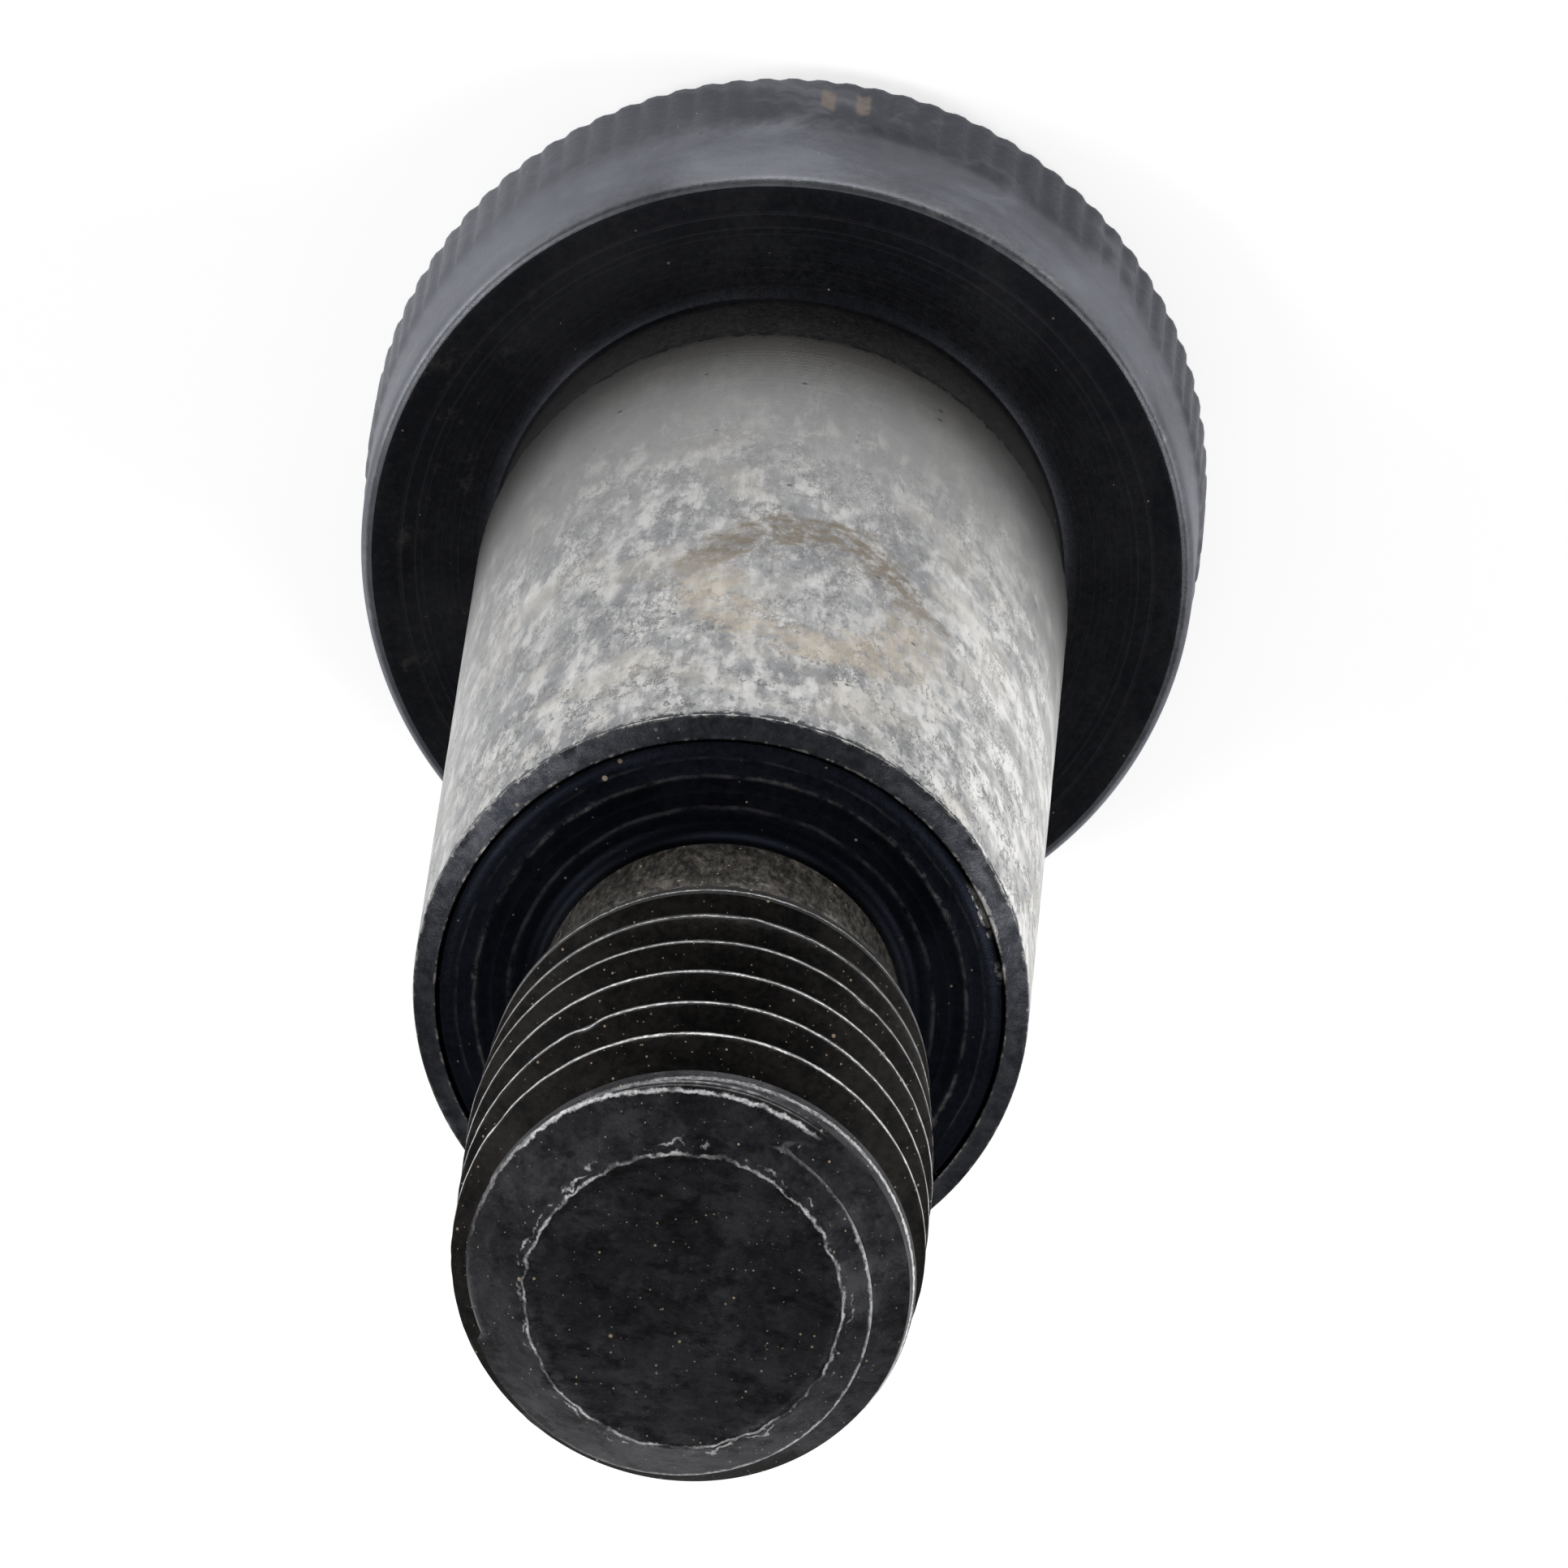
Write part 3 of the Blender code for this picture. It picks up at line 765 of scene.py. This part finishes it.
def threaded(name, dark, light, rough, tip=False):
    """Black oxide thread: near-black flanks with dust, crests rubbed silvery."""
    n = Nodes(name)
    clouds = n.noise(n.p, 0.8, 5.0, 0.6, 0.6)
    fine = n.noise(n.p, 6.5, 6.0, 0.66)
    grains = n.noise(n.p, 30.0, 3.0, 0.6)
    color = n.mix(n.band(n.lerp(0.45, clouds, fine), 0.36, 0.64), dark, light)
    if tip:
        smoke = n.noise(n.p, 0.85, 9.0, 0.72, 0.1)
        soot = n.noise(n.times(n.p, (0.7, 1.3, 1.0)), 1.5, 9.0, 0.78, 0.1)
        color = n.mix(n.band(smoke, 0.47, 0.66, 0.0, 0.42), color, tuple(c * 2.2 + 0.02 for c in light))
        color = n.mix(n.math("MULTIPLY", n.band(n.y, -0.5, 3.2), n.band(n.noise(n.times(n.p, (0.5, 1.4, 1.0)), 2.6, 6.0, 0.72), 0.42, 0.62, 0.25, 0.70)), color, tuple(c * 1.9 + 0.01 for c in light))
        color = n.mix(n.band(soot, 0.39, 0.52, 0.60, 0.0), color, tuple(c * 0.3 for c in dark))
        dash = n.biggest(n.scratches(n.p, 8, 1.5, 9.0, 0.10, 0.10, 31.0), n.scratches(n.p, -24, 1.7, 11.0, 0.10, 0.09, 37.0))
        dash = n.math("MULTIPLY", dash, n.band(n.noise(n.p, 3.1, 3.0, 0.6), 0.42, 0.60))
    hair = n.biggest(n.scratches(n.p, 12, 14.0, 2.2, 0.10, 0.26, 2.0), n.scratches(n.p, -37, 13.0, 2.0, 0.095, 0.26, 6.0),
                     n.scratches(n.p, 71, 14.0, 2.3, 0.095, 0.26, 13.0), n.scratches(n.p, -74, 12.0, 2.0, 0.09, 0.22, 19.0))
    hair = n.math("MULTIPLY", hair, n.band(n.noise(n.p, 2.1, 3.0, 0.6), 0.40, 0.62))
    if tip:
        hair = n.biggest(n.math("MULTIPLY", hair, 0.7), dash)
    color = n.mix(n.math("MULTIPLY", hair, 0.55 if tip else 0.45), color, (0.34, 0.33, 0.32))
    dusty = n.biggest(n.specks(n.p, 3.0, 0.17, 0.22), n.specks(n.p, 6.5, 0.22, 0.22, 5.0), n.specks(n.p, 12.0, 0.26, 0.16, 7.0))
    color = n.mix(n.math("MULTIPLY", dusty, 0.75), color, TAN_DUST)
    amount = n.wear()
    ragged = n.math("SUBTRACT", n.noise(n.p, 4.0, 6.0, 0.72), 0.5)
    ragged_fine = n.math("SUBTRACT", n.noise(n.p, 11.0, 4.0, 0.65), 0.5)
    place = n.wear("pitch_place")
    past_cut = n.wear("cut")
    full = n.band(n.wear("cone"), -0.01, 0.03, 1.0, 0.0)
    reach = n.math("ADD", n.math("MULTIPLY", amount, 0.066), n.math("MULTIPLY", ragged_fine, 0.12))
    reach = n.math("MAXIMUM", n.math("ADD", reach, n.math("MULTIPLY", ragged, 0.08)), 0.0)
    line = n.band(n.math("SUBTRACT", place, PITCH / 2 - 0.012), n.math("MULTIPLY", reach, -1.0), n.math("ADD", n.math("MULTIPLY", reach, -1.0), 0.022))
    line = n.math("MULTIPLY", line, n.math("SUBTRACT", 1.0, n.math("MULTIPLY", n.band(ragged, 0.00, 0.13), 0.62)))
    wander = n.math("SUBTRACT", n.noise(n.p, 1.7, 3.0, 0.55), 0.5)
    gaps = n.noise(n.p, 2.3, 4.0, 0.65)
    lip_at = n.math("ADD", n.wear("lip"), n.math("ADD", n.math("MULTIPLY", wander, 0.17), n.math("MULTIPLY", ragged, 0.15)))
    patchy = n.math("ADD", amount, n.math("MULTIPLY", n.math("SUBTRACT", gaps, 0.5), 2.2))
    rim = n.near(lip_at, 0.0, 0.005, 0.030)
    rim = n.math("MULTIPLY", rim, n.band(patchy, 0.22, 0.95, 0.12, 1.0))
    second = n.near(n.math("ADD", lip_at, n.math("MULTIPLY", wander, 0.35)), -0.10, 0.003, 0.022)
    rim = n.biggest(rim, n.math("MULTIPLY", second, n.band(patchy, 0.65, 0.95, 0.0, 0.7)))
    # the crown of the chamfer sits further in where the screw was set down on it
    q = n.math("DIVIDE", n.math("SUBTRACT", n.math("MULTIPLY", n.x, -1.0), n.y), n.r)
    inset = n.band(q, 0.0, 1.1, 0.02, 0.13)
    line = n.math("MULTIPLY", line, n.biggest(n.band(n.wear("cone"), -0.55, -0.10, 1.0, 0.28), n.band(q, -0.5, 0.1, 1.0, 0.0)))
    cone_at = n.math("SUBTRACT", n.math("ADD", n.wear("cone"), n.math("MULTIPLY", ragged, 0.16)), inset)
    outer = n.near(cone_at, 0.0, 0.008, 0.030)
    ridges = n.math("MULTIPLY", n.band(n.line_noise(n.wear("cone"), 30.0, 2.0, 0.6), 0.50, 0.62), n.band(cone_at, -0.02, 0.03, 1.0, 0.0))
    ridges = n.math("MULTIPLY", n.math("MULTIPLY", ridges, n.band(n.wear("cone"), -0.02, 0.01)), 0.35)
    outer = n.math("MULTIPLY", outer, n.band(patchy, 0.12, 0.55, 0.12, 1.0))
    outer = n.math("MULTIPLY", n.biggest(outer, ridges), n.band(past_cut, 0.0, 0.22))
    groove = n.near(n.math("ADD", past_cut, n.math("MULTIPLY", ragged, 0.12)), 0.0, 0.010, 0.034)
    groove = n.math("MULTIPLY", groove, n.math("MULTIPLY", n.band(cone_at, 0.08, 0.40), n.band(n.wear("lip"), -0.12, -0.04, 1.0, 0.0)))
    groove = n.math("MULTIPLY", groove, n.band(patchy, 0.12, 0.58, 0.10, 1.0))
    groove = n.math("MULTIPLY", groove, n.band(n.math("ADD", n.math("MULTIPLY", n.x, 0.45), n.y), -3.9, -2.6, 0.22, 1.0))
    rubbed = n.biggest(n.math("MULTIPLY", line, full), rim, outer, groove)
    shade = n.mix(n.band(n.noise(n.p, 9.0, 3.0, 0.6), 0.38, 0.62), (0.50, 0.505, 0.52), (0.95, 0.95, 0.95))
    color = n.mix(n.math("MULTIPLY", rubbed, 0.92), color, shade)
    roughness = n.lerp(rubbed, n.band(n.lerp(0.5, fine, grains), 0.3, 0.75, rough - 0.08, rough + 0.12), 0.28)
    roughness = n.lerp(dusty, roughness, 0.8)
    normal = n.bump(n.lerp(0.5, grains, fine), 0.00003, 0.55)
    normal = n.bump(n.math("SUBTRACT", n.math("MULTIPLY", dusty, 0.5), n.math("MULTIPLY", hair, 0.7)), 0.00003, 0.6, normal)
    burred = n.biggest(n.math("MULTIPLY", dusty, 0.9), n.math("MULTIPLY", hair, 0.8), n.biggest(rim, groove, outer))
    return n.finish(color, roughness, normal, n.math("SUBTRACT", 1.0, burred))


RIM_BLACK = rim_z - 0.10
for material in (
        oxide("black_oxide_head", (0.082, 0.086, 0.096), (0.160, 0.166, 0.182), 0.38, 0.22, 0.03, 0.0, 0.40, side=True),
        ground("ground_steel"),
        threaded("black_oxide_thread", (0.012, 0.0115, 0.0115), (0.030, 0.028, 0.026), 0.38),
        threaded("black_oxide_tip", (0.022, 0.022, 0.025), (0.042, 0.042, 0.046), 0.42, True),
        oxide("black_oxide_socket", (0.030, 0.031, 0.034), (0.060, 0.061, 0.064), 0.42, 0.5, 0.05, 0.0, 0.5),
        oxide("black_oxide_face", (0.020, 0.021, 0.026), (0.038, 0.039, 0.045), 0.42, 0.35, 0.03, 0.25, 0.4),
        oxide("black_oxide_end", (0.009, 0.0105, 0.016), (0.018, 0.020, 0.029), 0.36, 0.5, 0.16, 0.30, 0.5, end=True),
        oxide("black_oxide_neck", (0.038, 0.035, 0.030), (0.100, 0.091, 0.078), 0.46, 0.8, 0.34, 0.0, 0.5, metal=0.25)):
    tint = material.node_tree.nodes["Principled BSDF"].inputs["Specular Tint"]
    if material.name.startswith("black_oxide_head"):
        tint.default_value = (0.70, 0.71, 0.75, 1.0)
    mesh.materials.append(material)

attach(screw, "root")
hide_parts("shoulder_screw")

# -------------------------------------------------------------- floor and light
bpy.ops.mesh.primitive_plane_add(size=6.0, location=(0, 0, -0.00002))
floor = bpy.context.object
floor.name = "floor"
fm = bpy.data.materials.new("floor_white")
fm.use_nodes = True
fb = fm.node_tree.nodes["Principled BSDF"]
fb.inputs["Base Color"].default_value = (0.86, 0.86, 0.86, 1)
fb.inputs["Roughness"].default_value = 0.85
fb.inputs["Specular IOR Level"].default_value = 0.1
fb.inputs["Emission Color"].default_value = (1.0, 1.0, 1.0, 1)
fb.inputs["Emission Strength"].default_value = 0.66
geo = fm.node_tree.nodes.new("ShaderNodeNewGeometry")
clear = fm.node_tree.nodes.new("ShaderNodeBsdfTransparent")
both = fm.node_tree.nodes.new("ShaderNodeMixShader")
fm.node_tree.links.new(geo.outputs["Backfacing"], both.inputs[0])
fm.node_tree.links.new(fb.outputs[0], both.inputs[1])
fm.node_tree.links.new(clear.outputs[0], both.inputs[2])
fm.node_tree.links.new(both.outputs[0], fm.node_tree.nodes["Material Output"].inputs[0])
floor.data.materials.append(fm)


def softbox(name, azimuth, elevation, distance, size, power, aim=(0, 0, 0.022)):
    """Area light; azimuth 0 is on the -Y side, 90 on +X."""
    a, e = math.radians(azimuth), math.radians(elevation)
    data = bpy.data.lights.new(name, "AREA")
    data.shape = "RECTANGLE"
    data.size, data.size_y = size
    data.energy = power
    obj = bpy.data.objects.new(name, data)
    where = Vector((math.sin(a) * math.cos(e), -math.cos(a) * math.cos(e), math.sin(e))) * distance
    obj.location = Vector(aim) + where
    obj.rotation_euler = (-where).to_track_quat("-Z", "Y").to_euler()
    bpy.context.scene.collection.objects.link(obj)
    return obj


softbox("key", -4, 7, 0.9, (0.9, 0.2), 2.0)
softbox("left", 80, 6, 0.9, (0.6, 0.2), 1.6)
softbox("right", -85, 9, 0.9, (0.6, 0.2), 1.2)
softbox("back", 180, 8, 1.0, (0.9, 0.2), 0.4)
softbox("high_left", 86, 56, 0.9, (0.26, 0.26), 1.3)
softbox("high_right", -94, 56, 0.9, (0.26, 0.26), 1.3)

world = bpy.data.worlds.new("studio")
bpy.context.scene.world = world
world.use_nodes = True
wt = world.node_tree
bg = wt.nodes["Background"]
coords = wt.nodes.new("ShaderNodeTexCoord")
split = wt.nodes.new("ShaderNodeSeparateXYZ")
wt.links.new(coords.outputs["Generated"], split.inputs[0])
fade = wt.nodes.new("ShaderNodeMapRange")
fade.interpolation_type = "SMOOTHSTEP"
wt.links.new(split.outputs[2], fade.inputs[0])
for socket, value in zip(fade.inputs[1:5], (-0.02, 0.32, 0.78, 0.19)):
    socket.default_value = value
wt.links.new(fade.outputs[0], bg.inputs["Strength"])
bg.inputs["Color"].default_value = (1.0, 1.0, 1.0, 1)
bpy.context.scene.view_settings.view_transform = "Standard"

# ---------------------------------------------------------------------- camera
cam = bpy.data.cameras.new("camera")
cam.lens, cam.sensor_width = 559.0, 36.0
cam.clip_start, cam.clip_end = 0.02, 20.0
camera = bpy.data.objects.new("camera", cam)
bpy.context.scene.collection.objects.link(camera)
right, up, back = (-.99233, -.11399, -.04759), (.12352, -.91574, -.38230), (0.0, -.38526, .92281)
place = Matrix.Identity(4)
for row in range(3):
    place[row][0], place[row][1], place[row][2] = right[row], up[row], back[row]
place.translation = Vector((-0.00074, -0.19615, 0.48819))
camera.matrix_world = place
bpy.context.scene.camera = camera

bpy.context.view_layer.update()
